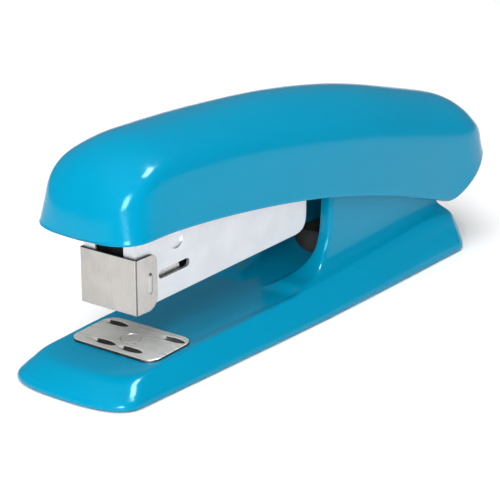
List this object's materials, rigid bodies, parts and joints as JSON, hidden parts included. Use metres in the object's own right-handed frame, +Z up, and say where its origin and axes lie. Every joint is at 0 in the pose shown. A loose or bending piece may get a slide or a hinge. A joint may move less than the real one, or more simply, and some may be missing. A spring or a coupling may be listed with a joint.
{
  "type": "stapler",
  "caption": "Desk stapler with an arched glossy cyan handle, sloping zinc-plated staple channel, plated nose plate, reversible anvil and a flat moulded base with hinge ears.",
  "frame": {"origin": "centre of the bounding box at its lowest face, on the surface it stands on", "axes": "+Z up, -Y towards the nose where the staple comes out, +Y towards the hinge end, +X the side seen in the picture"},
  "size_m": [0.0356, 0.1535, 0.0541],
  "materials": {
    "cyan_plastic": "smooth glossy moulded plastic",
    "pad_rubber": "matt black rubber",
    "nickel": "bright nickel plate",
    "zinc": "light satin zinc plate",
    "steel": "plain steel",
    "black_steel": "black oxide",
    "spring_steel": "drawn spring wire",
    "dark_plastic": "dark moulded plastic"
  },
  "bodies": {
    "base": {"base_shell": "cyan_plastic", "base_pad": "pad_rubber", "spring_tray": "dark_plastic", "pivot_pin": "steel", "pin_clip_right": "steel", "pin_clip_left": "steel", "arm_return_spring": "spring_steel", "anvil_spring": "spring_steel"},
    "anvil_lifter": {"anvil_button": "dark_plastic"},
    "anvil": {"anvil_plate": "nickel", "anvil_post": "nickel"},
    "magazine": {"magazine_channel": "zinc", "front_plate": "nickel", "staple_rail": "black_steel", "rail_rivet_front": "steel", "rail_rivet_rear": "steel", "guide_rod": "steel", "spring_cross_pin": "steel", "spring_sleeve": "dark_plastic", "handle_return_spring": "spring_steel", "pusher_spring": "spring_steel"},
    "pusher": {"pusher": "nickel"},
    "handle": {"handle_cover": "cyan_plastic", "handle_frame": "steel", "driver_blade": "black_steel", "driver_rivet_right": "steel", "driver_rivet_left": "steel", "cover_screw_front": "steel", "cover_screw_rear": "steel"}
  },
  "joints": [
    {"name": "arm_hinge", "type": "hinge", "parent": "base", "child": "magazine", "pos_m": [0, 0.04975, 0.0188], "axis": [-1, 0, 0], "range_deg": [-4.8, 0], "stiffness_Nm_per_rad": 3, "springref_deg": 5.73, "deforming": ["arm_return_spring"]},
    {"name": "handle_hinge", "type": "hinge", "parent": "magazine", "child": "handle", "pos_m": [0, 0.04975, 0.0188], "axis": [-1, 0, 0], "range_deg": [-4.2, 20], "stiffness_Nm_per_rad": 1.5, "springref_deg": 1.03, "deforming": ["handle_return_spring"]},
    {"name": "pusher_slide", "type": "slide", "parent": "magazine", "child": "pusher", "axis": [0, 0.9995, 0.0332], "range_m": [0, 0.034], "stiffness_N_per_m": 30, "springref_m": -0.02, "deforming": ["pusher_spring"]},
    {"name": "anvil_lift", "type": "slide", "parent": "base", "child": "anvil_lifter", "axis": [0, -0.0436, 0.999], "range_m": [0, 0.0012], "stiffness_N_per_m": 400, "springref_m": -0.002, "deforming": ["anvil_spring"]},
    {"name": "anvil_turn", "type": "hinge", "parent": "anvil_lifter", "child": "anvil", "pos_m": [0, -0.05325, 0.00695], "axis": [0, -0.0436, 0.999], "range_deg": [0, 180]}
  ]
}
